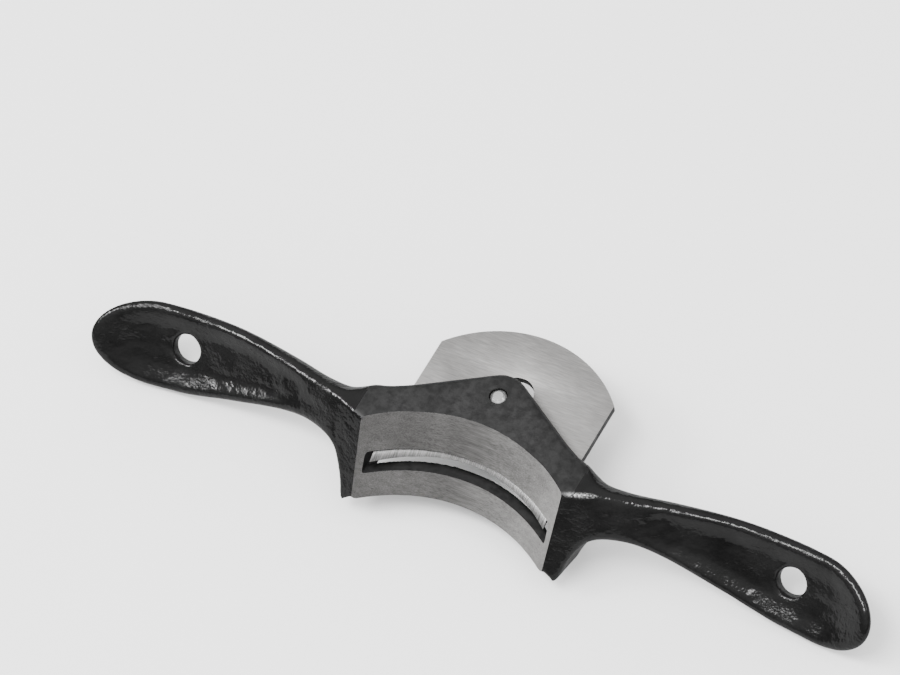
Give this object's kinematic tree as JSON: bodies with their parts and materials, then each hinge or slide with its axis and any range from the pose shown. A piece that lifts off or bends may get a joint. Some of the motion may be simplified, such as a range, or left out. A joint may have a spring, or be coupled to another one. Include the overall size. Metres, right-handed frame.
{
  "type": "concave face spokeshave",
  "caption": "Cast spokeshave with a hollow face, two dished handles with hanging holes, a curved cutter, a lever cap and a cap screw.",
  "frame": {"origin": "middle of the underside of the whole tool, as it lies on its handles' toe edges and the cap screw's head", "axes": "+X along the handles, -Y the way the sole faces and the tool is worked, +Z square to the bed, out of the heel face"},
  "size_m": [0.25, 0.0644, 0.0294],
  "materials": {
    "black_enamel": "gloss black enamel over a cast surface",
    "ground_steel": "ground",
    "machined_iron": "milled sole, unpainted",
    "dark_cap": "satin black enamel over a cast surface",
    "screw_steel": "turned and knurled"
  },
  "bodies": {
    "casting": {"body_casting": "black_enamel"},
    "cutter_body": {"cutter": "ground_steel"},
    "cap_body": {"lever_cap": "dark_cap"},
    "screw_body": {"cap_screw": "screw_steel"}
  },
  "joints": [
    {"name": "cutter_slide", "type": "slide", "parent": "casting", "child": "cutter_body", "axis": [0, 1, 0], "range_m": [-0.006, 0.004]},
    {"name": "cap_lift", "type": "slide", "parent": "casting", "child": "cap_body", "axis": [0, 0, -1], "range_m": [0, 0.0025]},
    {"name": "screw_turn", "type": "hinge", "parent": "cap_body", "child": "screw_body", "pos_m": [0, 0.00445, 0.0145], "axis": [0, 0, -1], "range_deg": [0, 1080]}
  ],
  "couplings": [
    {"joint": "cap_lift", "follows": "screw_turn", "m_per_rad": 0.00012732}
  ]
}
